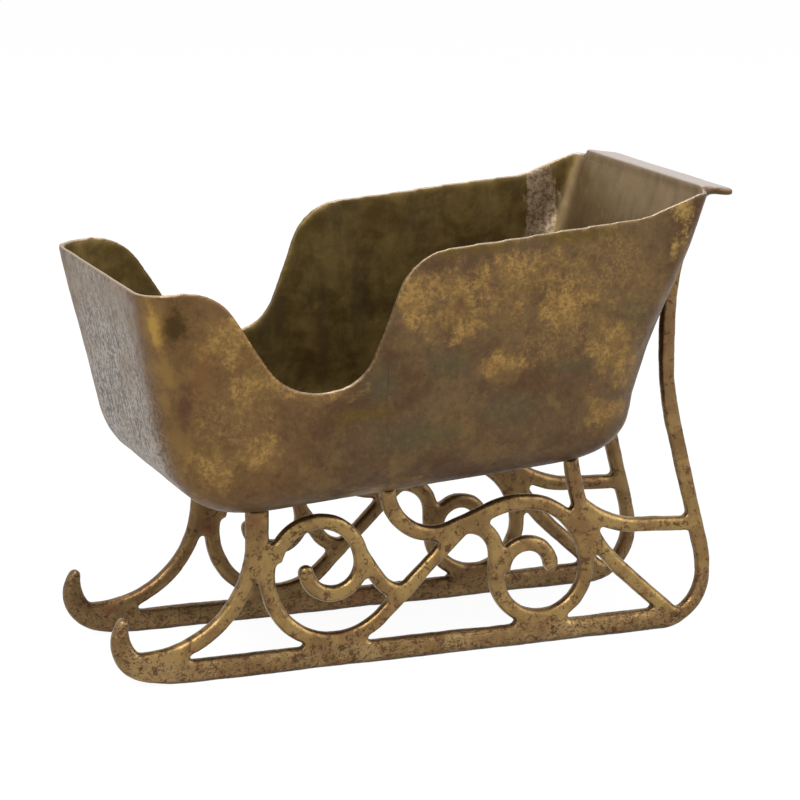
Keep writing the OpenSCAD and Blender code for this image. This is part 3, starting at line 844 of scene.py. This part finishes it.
def placed(obj, nodes, material):
    """Finishes a piece: its shading, its material and its place in the frame."""
    smooth_shaded(obj)
    obj.data.materials.clear()
    obj.data.materials.append(material)
    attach(obj, "root")
    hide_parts(*nodes)


BODY = body_brass()
# light is the colour of the bars' rubbed edges and of the highlight painted on them
RAIL = bar_brass("aged_brass_runner", base="#957a52", light="#bfa67c", dull="#785d3b", wrinkled=0.8)
SCROLL = bar_brass(
    "aged_brass_scrollwork", base="#957a4c", light="#c3aa7c", dull="#785d3b", wrinkled=0.0
)

shell = cast(BODY_NODES, "body_rest", BODY_VOXEL, BODY_SWELL, BODY_ROUNDS)
body_bend = curvature(settle(shell, BODY_SWELL, BODY_WAVE, 1), BODY_VOXEL)
for node, slot, label in (
    ("rear_lip", "lip", "lip_casting"),
    ("floor_pan", "body_inside", "floor_casting"),
    ("dash_panel", "dash", "dash_casting"),
    ("back_panel", "body_back", "back_casting"),
    ("left_side_panel", "body_side", "left_side_casting"),
):
    piece = split_off(shell, node, CUT_MARGIN, label)
    mark_body(piece)
    mark_bend(piece, body_bend)
    placed(piece, [node], BODY)
shell.name = "right_side_casting"
mark_body(shell)
mark_bend(shell, body_bend)
placed(shell, ["right_side_panel"], BODY)

for seed, hand in enumerate(("left", "right"), start=2):
    names = [hand + "_" + n for n in ["runner"] + SCROLL_NODES]
    rail_lo, rail_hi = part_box(hand + "_runner")
    middle_y = (rail_lo.y + rail_hi.y) / 2
    bars = cast(names, hand + "_scrollwork_casting", BAR_VOXEL, BAR_SWELL, BAR_ROUNDS, middle_y)
    settle(bars, BAR_SWELL - BAR_SHRINK, BAR_WAVE, seed)
    bar_bend = curvature(bars, BAR_VOXEL)
    rail = split_off(bars, hand + "_runner", CUT_MARGIN, hand + "_runner_casting")
    for piece in (rail, bars):
        mark_bend(piece, bar_bend)
    placed(rail, [hand + "_runner"], RAIL)
    placed(bars, names[1:], SCROLL)

# ---------------------------------------------------------------- stage

BACKDROP = (0.93, 0.93, 0.93, 1)
FLOOR_GLOW = 0.88       # how much of the floor is seen as plain white light
GLOW_STRENGTH = 1.07
AMBIENT = 0.40          # light of the white studio around the sleigh
FLOOR_SIZE = 8
CAMERA_PLACE = (0.46187, 1.24087, 0.40807)
CAMERA_BACK = (0.34414, 0.91265, 0.22053)   # from the sleigh towards the camera
CAMERA_RIGHT = (-0.93569, 0.35283, 0)       # the picture's right
LENS_MM = 135
SENSOR_MM = 36
LAMPS = [               # name, place, size in metres, power in watts
    ("key", (0.7, 0.9, 1.3), 0.9, 18),
    ("fill", (-1.1, 0.8, 0.7), 0.9, 6),
    ("top", (0.0, -0.2, 1.5), 0.8, 9),
]


def seen_directly(tree):
    """1 for rays that show the background, 0 for rays that light the object."""
    path = tree.nodes.new("ShaderNodeLightPath")
    total = None
    for key in ("Is Camera Ray", "Is Glossy Ray", "Is Transmission Ray"):
        out = path.outputs[key]
        if total is None:
            total = out
            continue
        n = tree.nodes.new("ShaderNodeMath")
        n.operation = "MAXIMUM"
        tree.links.new(total, n.inputs[0])
        tree.links.new(out, n.inputs[1])
        total = n.outputs[0]
    return total


def make_world():
    """White behind the sleigh, and a weaker white light on it."""
    world = bpy.data.worlds.new("studio")
    bpy.context.scene.world = world
    world.use_nodes = True
    tree = world.node_tree
    background = tree.nodes["Background"]
    background.inputs["Color"].default_value = (1, 1, 1, 1)
    n = tree.nodes.new("ShaderNodeMapRange")
    n.inputs["To Min"].default_value = AMBIENT
    n.inputs["To Max"].default_value = 1.0
    tree.links.new(seen_directly(tree), n.inputs["Value"])
    tree.links.new(n.outputs[0], background.inputs["Strength"])


def make_floor():
    """A floor under the soles that takes a soft shadow and is seen as white."""
    bpy.ops.mesh.primitive_plane_add(size=FLOOR_SIZE, location=(0, 0, cad_lo.z))
    floor = bpy.context.active_object
    floor.name = "floor"
    material = bpy.data.materials.new("pale_floor")
    material.use_nodes = True
    tree = material.node_tree
    tree.nodes.clear()
    diffuse = tree.nodes.new("ShaderNodeBsdfDiffuse")
    diffuse.inputs["Color"].default_value = BACKDROP
    glow = tree.nodes.new("ShaderNodeEmission")
    glow.inputs["Strength"].default_value = GLOW_STRENGTH
    share = tree.nodes.new("ShaderNodeMath")
    share.operation = "MULTIPLY"
    share.inputs[1].default_value = FLOOR_GLOW
    tree.links.new(seen_directly(tree), share.inputs[0])
    mixed = tree.nodes.new("ShaderNodeMixShader")
    tree.links.new(share.outputs[0], mixed.inputs[0])
    tree.links.new(diffuse.outputs[0], mixed.inputs[1])
    tree.links.new(glow.outputs[0], mixed.inputs[2])
    out = tree.nodes.new("ShaderNodeOutputMaterial")
    tree.links.new(mixed.outputs[0], out.inputs["Surface"])
    floor.data.materials.append(material)


def make_lamp(name, place, target, size, power):
    """A round lamp that shines at a target."""
    data = bpy.data.lights.new(name, "AREA")
    data.shape = "DISK"
    data.size = size
    data.energy = power
    lamp = bpy.data.objects.new(name, data)
    bpy.context.scene.collection.objects.link(lamp)
    lamp.location = place
    lamp.rotation_mode = "QUATERNION"
    lamp.rotation_quaternion = (Vector(target) - Vector(place)).to_track_quat("-Z", "Y")


def make_camera():
    """The camera that was fitted to the photo."""
    data = bpy.data.cameras.new("camera")
    data.sensor_width = SENSOR_MM
    data.lens = LENS_MM
    camera = bpy.data.objects.new("camera", data)
    bpy.context.scene.collection.objects.link(camera)
    back = Vector(CAMERA_BACK).normalized()
    right = Vector(CAMERA_RIGHT).normalized()
    turn = Matrix((right, back.cross(right), back)).transposed().to_4x4()
    camera.matrix_world = Matrix.Translation(CAMERA_PLACE) @ turn
    bpy.context.scene.camera = camera


make_world()
make_floor()
for lamp_name, lamp_place, lamp_size, watts in LAMPS:
    make_lamp(lamp_name, lamp_place, (cad_lo + cad_hi) / 2, lamp_size, watts)
make_camera()
bpy.context.scene.view_settings.view_transform = "Standard"
